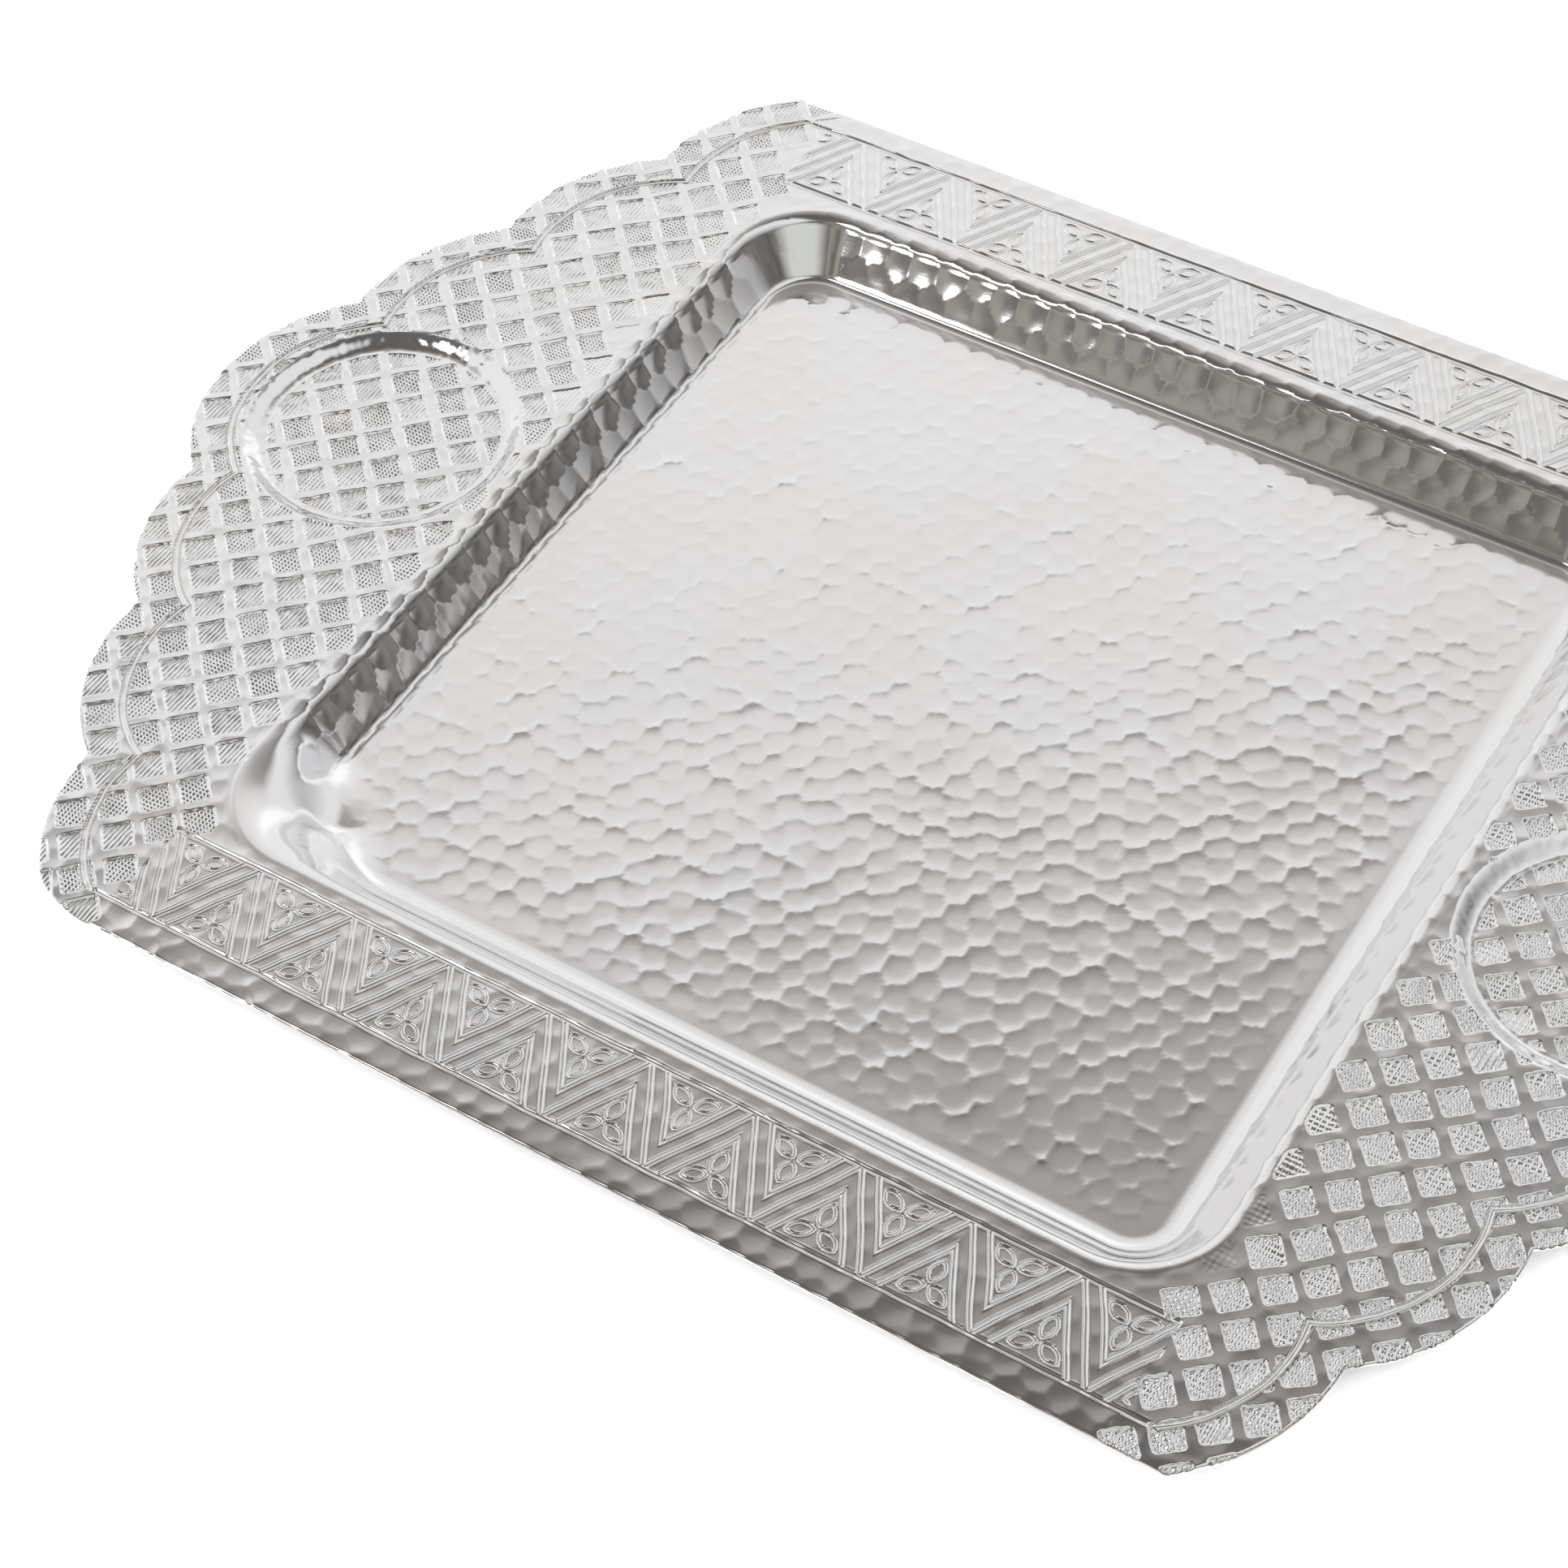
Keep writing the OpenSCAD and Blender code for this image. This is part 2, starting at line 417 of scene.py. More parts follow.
def petal_outline(along, across):
    """Distance from the outline of one almond petal."""
    half_l = PETAL_LENGTH / 2
    arc_r = (half_l ** 2 + PETAL_HALF_W ** 2) / (2 * PETAL_HALF_W)
    offset = arc_r - PETAL_HALF_W
    a = along - PETAL_START - half_l
    inside = np.maximum(np.hypot(a, across - offset), np.hypot(a, across + offset)) - arc_r
    return np.abs(inside)


def trefoil(a, b):
    """Distance from the outlines of three petals that point to a triangle's corners."""
    nearest = np.full(a.shape, np.inf)
    for angle in (90, 210, 330):
        c, s = math.cos(math.radians(angle)), math.sin(math.radians(angle))
        nearest = np.minimum(nearest, petal_outline(a * c + b * s, b * c - a * s))
    return nearest


def band_relief(x, y):
    """Border lines, zigzag, inner triangles and trefoils of one long side."""
    back = y > 0
    pitch = np.where(back, ZIGZAG_PITCH_BACK, ZIGZAG_PITCH_FRONT)
    start = np.where(back, ZIGZAG_START_BACK, ZIGZAG_START_FRONT)
    wobble_x = x + LINE_WOBBLE_ALONG * noise(x, y, 13, 41)
    wobble_y = np.abs(y) + LINE_WOBBLE_ACROSS * noise(x, y, 9, 42)
    steps = (wobble_x - start) / pitch
    t = (wobble_y - BORDER_IN) / BAND_W
    to_outer_apex = 2 * np.abs(steps - np.round(steps))
    half_pitch = pitch / 2
    side_scale = BAND_W * half_pitch / np.hypot(half_pitch, BAND_W)
    from_zigzag = (t - (1 - to_outer_apex)) * side_scale
    lines = deeper(chased_line(from_zigzag), chased_line(np.abs(from_zigzag) - INNER_LINE_GAP))

    outer_row = from_zigzag > 0
    triangle = np.where(outer_row, np.floor(steps) + 0.5, np.round(steps))
    centre_x = start + triangle * pitch + spread(triangle * 2, triangle, 43, TREFOIL_SHIFT)
    from_base = np.where(outer_row, BORDER_OUT - wobble_y, wobble_y - BORDER_IN)
    petals = trefoil(wobble_x - centre_x, from_base - PETAL_BASE)
    lines = deeper(lines, chased_line(petals, PETAL_LINE_W))

    within = smooth(t * BAND_W / ZIGZAG_END_W) * smooth((1 - t) * BAND_W / ZIGZAG_END_W)
    within = within * smooth((BAND_END - np.abs(x)) / LINE_END_W)
    borders = deeper(chased_line(wobble_y - BORDER_IN), chased_line(wobble_y - BORDER_OUT))
    outer = wobble_y > (BORDER_IN + BORDER_OUT) / 2
    border_end = np.where(outer, BAND_END + OUTER_BORDER_EXTRA, BAND_END)
    borders = borders * smooth((border_end - np.abs(x)) / LINE_END_W)
    return deeper(borders, lines * within)


# ---------- Punched lattice on the ends ----------

LATTICE_PITCH = 10.98
# The middle of one square of each end, and the turn of the rows in radians
LATTICE_LEFT = (-203.5, -17.9, 0.772)
LATTICE_RIGHT = (152.3, -135.8, 0.714)
LATTICE_WAVE = 0.5
LATTICE_WAVE_SIZE = 31
SQUARE_HALF_LEFT = 4.55
SQUARE_HALF_RIGHT = 4.2
SQUARE_CORNER_R = 1.2
SQUARE_DEPTH = 0.5
SQUARE_SIDE_W = 0.75
# How much the squares differ in turn (radians), place and size
SQUARE_TURN = 0.12
SQUARE_SHIFT = 0.7
SQUARE_SIZE_SPREAD = 0.5
SQUARE_EDGE_WOBBLE = 0.15
SQUARE_TILT = 0.25
LATTICE_END_X = 143
LATTICE_END_Y = BORDER_IN - 4
LATTICE_FADE_W = 4
LATTICE_RAGGED = 3
HATCH_PITCH_LEFT = 3 * FINE
HATCH_PITCH_RIGHT = 4 * FINE
HATCH_DEPTH_LEFT = 0.15
HATCH_DEPTH_RIGHT = 0.22
HATCH_WANDER = 0.12
HATCH_GRAIN = 0.3
# Depth of the crossing lines as a share of the others, and the random numbers from which a square
# gets them
CROSS_DEPTH = 0.8
CROSS_FROM_LEFT = 0.4
CROSS_FROM_RIGHT = -0.1
CROSS_FADE = 0.4


def lattice_cell(x, y):
    """The lattice cell of each point: its two numbers, the point's place in it, and its middle."""
    origin_x, origin_y, angle = [np.where(x > 0, r, l) for l, r in zip(LATTICE_LEFT, LATTICE_RIGHT)]
    c, s = np.cos(angle), np.sin(angle)
    dx = x - origin_x + LATTICE_WAVE * noise(x, y, LATTICE_WAVE_SIZE, 51)
    dy = y - origin_y + LATTICE_WAVE * noise(x, y, LATTICE_WAVE_SIZE, 52)
    u, v = dx * c + dy * s, dx * s - dy * c
    i, j = np.round(u / LATTICE_PITCH), np.round(v / LATTICE_PITCH)
    cell_u, cell_v = i * LATTICE_PITCH, j * LATTICE_PITCH
    cell_x = origin_x + cell_u * c + cell_v * s
    cell_y = origin_y + cell_u * s - cell_v * c
    return i, j, u - cell_u, v - cell_v, cell_x, cell_y


def punch_strength(i, j, cell_x, cell_y):
    """1 for most squares. They fade out towards the well and the band, with a ragged edge."""
    by_well = smooth((mouth(cell_x, cell_y) + 1 - LATTICE_RAGGED * cell_random(i, j, 59)) / LATTICE_FADE_W)
    past_band = np.abs(cell_x) - LATTICE_END_X
    by_band = smooth((past_band - LATTICE_RAGGED * cell_random(i, j, 60)) / LATTICE_FADE_W)
    return np.where(np.abs(cell_y) > LATTICE_END_Y, by_band, by_well)


def hatching(x, y, i, j):
    """File-like hatch lines, which a second set crosses in some squares."""
    right = x > 0
    pitch = np.where(right, HATCH_PITCH_RIGHT, HATCH_PITCH_LEFT)
    phase = cell_random(i, j, 63) + HATCH_WANDER * noise(x, y, 3, 67)
    uneven = 0.8 + 0.4 * noise(x, y, 4, 66)
    cross_from = np.where(right, CROSS_FROM_RIGHT, CROSS_FROM_LEFT)
    cross_share = smooth((cell_random(i, j, 64) - cross_from) / CROSS_FADE)
    main_hatch = np.cos(TAU * (x / pitch + phase)) * uneven
    cross_hatch = np.cos(TAU * (y / pitch + phase)) * cross_share
    hatch = main_hatch + CROSS_DEPTH * cross_hatch + HATCH_GRAIN * noise(x, y, 1.3, 65)
    return hatch * np.where(right, HATCH_DEPTH_RIGHT, HATCH_DEPTH_LEFT)


def lattice_relief(x, y):
    """Sunk squares with hatching, punched by hand."""
    i, j, a, b, cell_x, cell_y = lattice_cell(x, y)
    turn = spread(i, j, 53, SQUARE_TURN)
    a = a + spread(i, j, 54, SQUARE_SHIFT)
    b = b + spread(i, j, 55, SQUARE_SHIFT)
    a, b = a + turn * b, b - turn * a
    square_half = np.where(x > 0, SQUARE_HALF_RIGHT, SQUARE_HALF_LEFT)
    half_a = square_half + spread(i, j, 56, SQUARE_SIZE_SPREAD)
    half_b = square_half + spread(i, j, 57, SQUARE_SIZE_SPREAD)
    edge = rounded_rect(a, b, half_a, half_b, SQUARE_CORNER_R) + SQUARE_EDGE_WOBBLE * noise(x, y, 1.7, 58)
    inside = smooth(-edge / SQUARE_SIDE_W)
    depth = SQUARE_DEPTH * (0.75 + 0.5 * cell_random(i, j, 61))
    tilt = 1 + (spread(i, j, 62, SQUARE_TILT) * a - SQUARE_TILT * b) / square_half
    hatch_area = smooth((-edge - SQUARE_SIDE_W * 0.7) / 0.4)
    punched = -depth * tilt * inside + hatching(x, y, i, j) * hatch_area
    return punch_strength(i, j, cell_x, cell_y) * punched


def scallop_line(x, y):
    """Distance from the chased line along the scallops, and the share of it that is there.

    The line meets the band's outer border and stops at a cup recess.
    """
    distance = scallops(x, y, SCALLOP_LINE_INSET) + LINE_WOBBLE_ACROSS * noise(x, y, 8, 71)
    here = smooth(np.abs(x) - SCALLOP_LINE_START) * smooth((BORDER_OUT + 0.8 - np.abs(y)) / 0.8)
    outside_cup = smooth((cup_distance(x, y) - CUP_R - 0.3) / 0.8)
    return distance, here * outside_cup


CUP_CHATTER_PITCH = 1.6
CUP_CHATTER_DEPTH = 0.06


def cup_chatter(x, y):
    """The sloping side of a cup recess as a share, and the tool chatter on it."""
    r = cup_distance(x, y)
    side = smooth((CUP_R + 0.8 - r) / 0.8) * smooth((r - CUP_R + CUP_SIDE_W + 0.4) / 0.8)
    turn = np.arctan2(y, np.abs(x) - CUP_X) * CUP_R
    return side, CUP_CHATTER_DEPTH * noise(turn, r, CUP_CHATTER_PITCH, 81)


# Share of dark colour on the burrs of the front band, the back band and the scallop line: partly patina,
# partly a painted dark reflection beside each chased line
PATINA_AND_PAINTED_REFLECTION_FRONT = 0.45
PATINA_AND_PAINTED_REFLECTION_BACK = 0.2
PATINA_AND_PAINTED_REFLECTION_SCALLOPS = 0.7
BAND_MARGIN_Y = 3
BAND_MARGIN_X = 8


def in_band(x, y):
    """Where the chased band and its border lines lie."""
    out_y = np.abs(y)
    across = (out_y > BORDER_IN - BAND_MARGIN_Y) & (out_y < BORDER_OUT + BAND_MARGIN_Y)
    return across & (np.abs(x) < BAND_END + BAND_MARGIN_X)


def line_patina_and_painted_reflection(x, y):
    """Share of dark colour on the burrs of the chased lines: partly patina, partly painted dark reflection
    lines beside them.
    """
    # The dark along the chased lines is partly painted reflection, not only patina
    patina_and_reflection = np.zeros(x.shape)
    band = in_band(x, y)
    share = np.where(y[band] > 0, PATINA_AND_PAINTED_REFLECTION_BACK, PATINA_AND_PAINTED_REFLECTION_FRONT)
    patina_and_reflection[band] = share * smooth(band_relief(x[band], y[band]) / BURR_HEIGHT)
    distance, here = scallop_line(x, y)
    return np.maximum(patina_and_reflection, PATINA_AND_PAINTED_REFLECTION_SCALLOPS * here * smooth(chased_line(distance) / BURR_HEIGHT))


# ---------- The whole top face ----------

# How far the well's relief reaches over the rim, and the rim's into the well
WELL_OVERLAP = 1.5
RIM_OVERLAP = 0.5
# The rim lies this far below its CAD face, to leave room for the burrs.
RIM_LEVEL = 0.08
RIM_START_W = 1.5
RIM_MARKS_FADE = 3
LATTICE_NEAR_X = 138
# The squares stay this clear of the scallop line, and fade in over this distance.
LINE_CLEAR = 0.8
LINE_CLEAR_FADE = 0.7


def relief(x, y):
    """Height that hammering and chasing add to the pressed shape."""
    out = mouth(x, y)
    total = np.zeros(x.shape)

    well = out < WELL_OVERLAP
    total[well] += floor_hammering(x[well], y[well]) + wall_hammering(x[well], y[well])

    rim = out > -RIM_OVERLAP
    rx, ry = x[rim], y[rim]
    rim_relief = rim_hammering(rx, ry) * smooth(out[rim] / RIM_MARKS_FADE) - RIM_LEVEL
    ends = np.abs(rx) > LATTICE_NEAR_X
    squares = np.zeros(rx.shape)
    squares[ends] = lattice_relief(rx[ends], ry[ends])

    side, chatter = cup_chatter(rx, ry)
    squares = squares * (1 - side) + chatter * side

    distance, here = scallop_line(rx, ry)
    clear = smooth((np.abs(distance) - LINE_CLEAR) / LINE_CLEAR_FADE)
    squares = squares * (1 - here * (1 - clear))
    rim_relief += squares + here * chased_line(distance)

    band = in_band(rx, ry)
    rim_relief[band] += band_relief(rx[band], ry[band])
    total[rim] += rim_relief * smooth((out[rim] + RIM_OVERLAP) / RIM_START_W)
    return total


# How far the outer edge is filed down, and over which width
EDGE_ROUND = 0.45
EDGE_ROUND_W = 0.8
# Share of the full quarter round, which keeps the edge from turning vertical
EDGE_ROUND_SHARE = 0.9


def top_height(x, y):
    """Height of the finished top face, with the sheet's outer edge filed round."""
    edge = np.clip(1 + outline(x, y) / EDGE_ROUND_W, 0, 1.05)
    filed = EDGE_ROUND * (1 - np.sqrt(1 - EDGE_ROUND_SHARE * edge ** 2))
    return np.minimum(pressed(x, y) + relief(x, y) - filed, RIM_TOP)


def normals_of(height, x, y, reach):
    """Unit normals of a height function."""
    gx = (height(x + reach, y) - height(x - reach, y)) / (2 * reach)
    gy = (height(x, y + reach) - height(x, y - reach)) / (2 * reach)
    n = np.stack([-gx, -gy, np.ones(x.shape)], axis=-1)
    return n / np.linalg.norm(n, axis=-1, keepdims=True)


# ---------- Materials ----------

def link(tree, a, b):
    tree.links.new(a, b)


def noise_node(tree, source, scale, detail, roughness):
    node = tree.nodes.new("ShaderNodeTexNoise")
    node.inputs["Scale"].default_value = scale
    node.inputs["Detail"].default_value = detail
    node.inputs["Roughness"].default_value = roughness
    link(tree, source, node.inputs["Vector"])
    return node.outputs["Fac"]


def ramp_node(tree, source, stops):
    """A ramp of grey or colour stops, each (position, colour)."""
    node = tree.nodes.new("ShaderNodeValToRGB")
    ramp = node.color_ramp
    while len(ramp.elements) < len(stops):
        ramp.elements.new(0.5)
    for element, (position, colour) in zip(ramp.elements, stops):
        element.position = position
        element.color = (*colour, 1)
    link(tree, source, node.inputs["Fac"])
    return node.outputs["Color"]


def grey(value):
    return (value, value, value)


def mix_colour(tree, factor, a, b, blend="MIX"):
    node = tree.nodes.new("ShaderNodeMix")
    node.data_type = "RGBA"
    node.blend_type = blend
    for socket, value in ((node.inputs["Factor"], factor), (node.inputs["A"], a), (node.inputs["B"], b)):
        if isinstance(value, bpy.types.NodeSocket):
            link(tree, value, socket)
        else:
            socket.default_value = value
    return node.outputs["Result"]


PLATE = (0.87, 0.865, 0.87)
PLATE_WARM = (0.85, 0.84, 0.83)
STAIN = (0.74, 0.66, 0.55)
# Dark colour of the tarnished edge, also used for the painted dark reflection lines beside the chased
# lines
TARNISH_AND_PAINTED_REFLECTION = (0.22, 0.19, 0.15)
CLOUD_SCALE = 18
STAIN_SCALE = 26
SMEAR_SCALE = 60
SCRATCH_SCALE = 220
SCRATCH_STRETCH = 14
SCRATCH_TURN = math.radians(35)
SCRATCH_HEIGHT = 0.00006


def plate_colour(tree, place):
    """Cloudy plate with faint warm stains, dark where the sheet is tarnished, and dark along the chased
    lines as partly patina, partly painted dark reflection.
    """
    clouds = noise_node(tree, place, CLOUD_SCALE, detail=4, roughness=0.6)
    colour = ramp_node(tree, clouds, [(0.35, PLATE), (0.7, PLATE_WARM)])
    stain_noise = noise_node(tree, place, STAIN_SCALE, detail=6, roughness=0.7)
    stains = ramp_node(tree, stain_noise, [(0.64, grey(0)), (0.8, grey(0.35))])
    colour = mix_colour(tree, stains, colour, (*STAIN, 1))
    tarnish_and_painted_reflection = tree.nodes.new("ShaderNodeAttribute")
    tarnish_and_painted_reflection.attribute_name = "tarnish_and_painted_reflection"
    return mix_colour(tree, tarnish_and_painted_reflection.outputs["Fac"], colour, (*TARNISH_AND_PAINTED_REFLECTION, 1))


def plate_scratches(tree, place, strength):
    """Fine scratches that run in one direction, as bump."""
    stretch = tree.nodes.new("ShaderNodeMapping")
    stretch.inputs["Rotation"].default_value = (0, 0, SCRATCH_TURN)
    stretch.inputs["Scale"].default_value = (1, SCRATCH_STRETCH, 1)
    link(tree, place, stretch.inputs["Vector"])
    lines = noise_node(tree, stretch.outputs["Vector"], SCRATCH_SCALE, detail=3, roughness=0.6)
    bump = tree.nodes.new("ShaderNodeBump")
    bump.inputs["Strength"].default_value = strength
    bump.inputs["Distance"].default_value = SCRATCH_HEIGHT
    link(tree, lines, bump.inputs["Height"])
    return bump.outputs["Normal"]


def plated_metal(name, rough_low, rough_high, scratch):
    """Silver-coloured plate, polished unevenly between two roughnesses."""
    material = bpy.data.materials.new(name)
    material.use_nodes = True
    tree = material.node_tree
    shader = tree.nodes["Principled BSDF"]
    shader.inputs["Metallic"].default_value = 1.0
    place = tree.nodes.new("ShaderNodeTexCoord").outputs["Object"]
    smear = noise_node(tree, place, SMEAR_SCALE, detail=5, roughness=0.65)
    roughness = ramp_node(tree, smear, [(0.3, grey(rough_low)), (0.75, grey(rough_high))])
    link(tree, plate_colour(tree, place), shader.inputs["Base Color"])
    link(tree, roughness, shader.inputs["Roughness"])
    link(tree, plate_scratches(tree, place, scratch), shader.inputs["Normal"])
    return material


hammered_plate = plated_metal("hammered_plate", rough_low=0.06, rough_high=0.12, scratch=0.10)
chased_plate = plated_metal("chased_plate", rough_low=0.05, rough_high=0.12, scratch=0.15)


# ---------- Shells ----------

# Share of a step within which points are moved onto the region's edge, and how often they are moved
SNAP_REACH = 0.55
SNAP_ROUNDS = 3
# Share of a step over which the slope of a region's distance is measured, and its least square
SLOPE_REACH = 0.05
LEAST_SLOPE_SQUARE = 0.3


def snap_to_edge(region, x, y, near, reach):
    """Move the near points onto the region's edge, in place, along the slope of its distance."""
    for _ in range(SNAP_ROUNDS):
        nx, ny, d = x[near], y[near], region(x[near], y[near])
        gx = (region(nx + reach, ny) - region(nx - reach, ny)) / (2 * reach)
        gy = (region(nx, ny + reach) - region(nx, ny - reach)) / (2 * reach)
        slope_square = np.maximum(gx ** 2 + gy ** 2, LEAST_SLOPE_SQUARE)
        x[near] -= d * gx / slope_square
        y[near] -= d * gy / slope_square


def snapped_grid(region, low, high, step):
    """Plan points and faces that fill a region. Points near the region's edge are moved onto it."""
    counts = [max(2, int(round((b - a) / step)) + 1) for a, b in zip(low, high)]
    x, y = np.meshgrid(np.linspace(low[0], high[0], counts[0]),
                       np.linspace(low[1], high[1], counts[1]), indexing="ij")
    distance = region(x, y)
    near = np.abs(distance) < SNAP_REACH * step
    inside = (distance < 0) | near
    well_inside = (distance < 0) & ~near
    snap_to_edge(region, x, y, near, step * SLOPE_REACH)
    x = np.clip(x, low[0], high[0])
    y = np.clip(y, low[1], high[1])

    index = np.arange(x.size).reshape(x.shape)
    corners = np.stack([index[:-1, :-1], index[1:, :-1], index[1:, 1:], index[:-1, 1:]], axis=-1)
    corners = corners.reshape(-1, 4)
    is_in = inside.ravel()[corners]
    some_deep = well_inside.ravel()[corners].any(axis=1)
    middle_in = region(x.ravel()[corners].mean(axis=1), y.ravel()[corners].mean(axis=1)) < 0
    quads = corners[is_in.all(axis=1) & (some_deep | middle_in)]
    three = corners[(is_in.sum(axis=1) == 3) & some_deep]
    out_at = np.argmin(inside.ravel()[three], axis=1)
    keep = (out_at[:, None] + np.array([1, 2, 3])) % 4
    triangles = np.take_along_axis(three, keep, axis=1)
    return x.ravel(), y.ravel(), quads, triangles


def boundary_edges(quads, triangles):
    """Directed edges that only one face uses."""
    edges = [np.stack([f[:, k], f[:, (k + 1) % f.shape[1]]], axis=1)
             for f in (quads, triangles) for k in range(f.shape[1])]
    edges = np.concatenate(edges)
    size = edges.max() + 1
    keys = edges[:, 0] * size + edges[:, 1]
    return edges[~np.isin(keys, edges[:, 1] * size + edges[:, 0])]


def mesh_from(name, points, face_groups, loop_normals, tarnish_and_painted_reflection):
    """A mesh from numpy arrays of points and faces, with a normal for each face corner."""
    loops = np.concatenate([f.ravel() for f in face_groups])
    sizes = np.concatenate([np.full(len(f), f.shape[1]) for f in face_groups])
    starts = np.concatenate([[0], np.cumsum(sizes)[:-1]])
    mesh = bpy.data.meshes.new(name)
    mesh.vertices.add(len(points))
    mesh.vertices.foreach_set("co", (points * MM).astype(np.float32).ravel())
    mesh.loops.add(len(loops))
    mesh.loops.foreach_set("vertex_index", loops.astype(np.int32))
    mesh.polygons.add(len(sizes))
    mesh.polygons.foreach_set("loop_start", starts.astype(np.int32))
    mesh.update(calc_edges=True)
    mesh.polygons.foreach_set("use_smooth", np.ones(len(sizes), dtype=bool))
    attribute = mesh.attributes.new("tarnish_and_painted_reflection", "FLOAT", "POINT")
    attribute.data.foreach_set("value", tarnish_and_painted_reflection.astype(np.float32))
    mesh.normals_split_custom_set(loop_normals.astype(np.float32))
    return mesh


UNDERSIDE_RELIEF = 0.55
TOP_NORMAL_REACH = 0.12
BASE_NORMAL_REACH = 0.05


def side_normals(points, edges):
    """Horizontal normals of the faces that join the top face to the underside."""
    along = points[edges[:, 1]] - points[edges[:, 0]]
    normals = np.stack([along[:, 1], -along[:, 0], np.zeros(len(edges))], axis=1)
    return normals / np.maximum(np.linalg.norm(normals, axis=1, keepdims=True), 1e-9)


def edge_wear(x, y, step):
    """Share of tarnish along the sheet's outer edge, which varies from half to full."""
    on_edge = outline(x, y) > -0.1 * step
    return on_edge * (0.5 + 0.5 * smooth(0.5 + noise(x, y, 12, 91)))


def shell(name, node, region, low, high, step, material):
    """One zone of the sheet as a closed shell: the worked top face, the underside and the sides."""
    x, y, quads, triangles = snapped_grid(region, low, high, step)
    used = np.unique(np.concatenate([quads.ravel(), triangles.ravel()]))
    renumber = np.zeros(len(x), dtype=int)
    renumber[used] = np.arange(len(used))
    x, y, quads, triangles = x[used], y[used], renumber[quads], renumber[triangles]
    count = len(x)

    top = np.stack([x, y, top_height(x, y)], axis=1)
    top_normals = normals_of(top_height, x, y, TOP_NORMAL_REACH)
    base_normals = normals_of(pressed, x, y, BASE_NORMAL_REACH)
    under = np.stack([x, y, pressed(x, y)], axis=1) - SHEET * base_normals
    under[:, 2] = np.clip(under[:, 2] + UNDERSIDE_RELIEF * relief(x, y), 0, None)
    points = np.concatenate([top, under])

    edges = boundary_edges(quads, triangles)
    sides = np.stack([edges[:, 1], edges[:, 0], edges[:, 0] + count, edges[:, 1] + count], axis=1)
    faces = [quads, triangles, quads[:, ::-1] + count, triangles[:, ::-1] + count]
    facing = np.concatenate([top_normals, -base_normals])
    loop_normals = [facing[f.ravel()] for f in faces]
    loop_normals.append(np.repeat(side_normals(points, edges), 4, axis=0))

    wear = edge_wear(x, y, step)
    # Tarnished edge on both faces, and on the top face also the painted dark reflection lines along the
    # chased lines
    tarnish_and_painted_reflection = np.concatenate([np.maximum(wear, line_patina_and_painted_reflection(x, y)), wear])
    mesh = mesh_from(name, points, faces + [sides], np.concatenate(loop_normals), tarnish_and_painted_reflection)
    mesh.materials.append(material)
    piece = bpy.data.objects.new(name, mesh)
    bpy.context.scene.collection.objects.link(piece)
    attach(piece, "root")
    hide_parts(node)


# ---------- The zones of the sheet ----------

def make_floor():
    half_x, half_y = MOUTH_X - WALL_RUN, MOUTH_Y - WALL_RUN
    shell("tray_well_floor", "well_floor", floor_edge, (-half_x, -half_y), (half_x, half_y),
          FLOOR_STEP, hammered_plate)


def in_wall(x, y):
    return np.maximum(mouth(x, y), -floor_edge(x, y))


def make_walls():
    straight_x, straight_y = MOUTH_X - MOUTH_CORNER_R, MOUTH_Y - MOUTH_CORNER_R
    floor_x, floor_y = MOUTH_X - WALL_RUN, MOUTH_Y - WALL_RUN
    spans = {
        "back": ((-straight_x, floor_y), (straight_x, MOUTH_Y)),
        "front": ((-straight_x, -MOUTH_Y), (straight_x, -floor_y)),
        "left": ((-MOUTH_X, -straight_y), (-floor_x, straight_y)),
        "right": ((floor_x, -straight_y), (MOUTH_X, straight_y)),
    }
    for side, (low, high) in spans.items():
        shell("tray_well_wall_" + side, "well_wall_" + side, in_wall, low, high,
              WALL_STEP, hammered_plate)
    for name_x, sign_x in (("left", -1), ("right", 1)):
        for name_y, sign_y in (("front", -1), ("back", 1)):
            xs = sorted((sign_x * straight_x, sign_x * MOUTH_X))
            ys = sorted((sign_y * straight_y, sign_y * MOUTH_Y))
            where = name_y + "_" + name_x
            shell("tray_well_corner_" + where, "well_corner_" + where, in_wall,
                  (xs[0], ys[0]), (xs[1], ys[1]), CORNER_STEP, hammered_plate)


RIM_PARTS = 4


def in_rim(x, y):
    return np.maximum(-mouth(x, y), np.abs(y) - HALF_W)


def make_rims():
    corner_y = MOUTH_Y - MOUTH_CORNER_R
    for name_y, sign_y in (("front", -1), ("back", 1)):
        ys = sorted((sign_y * corner_y, sign_y * HALF_W))
        for part in range(RIM_PARTS):
            x0, x1 = [-MOUTH_X + 2 * MOUTH_X * k / RIM_PARTS for k in (part, part + 1)]
            shell("tray_rim_%s_%d" % (name_y, part + 1), "rim_" + name_y, in_rim,
                  (x0, ys[0]), (x1, ys[1]), LINE_STEP, chased_plate)


WING_SPLIT_Y = 60


def in_wing(x, y):
    return np.maximum(outline(x, y), CUP_HOLE_R - cup_distance(x, y))


def make_wings():
    end_x = wing_high[0]
    spans = {
        "front": (-HALF_W, -WING_SPLIT_Y),
        "middle": (-WING_SPLIT_Y, WING_SPLIT_Y),
        "back": (WING_SPLIT_Y, HALF_W),
    }
    for side, sign in (("left", -1), ("right", 1)):
        xs = sorted((sign * MOUTH_X, sign * end_x))
        for part, ys in spans.items():
            shell("tray_wing_" + side + "_" + part, "wing_" + side, in_wing,
                  (xs[0], ys[0]), (xs[1], ys[1]), FINE, chased_plate)


def in_cup(x, y):
    return cup_distance(x, y) - CUP_HOLE_R


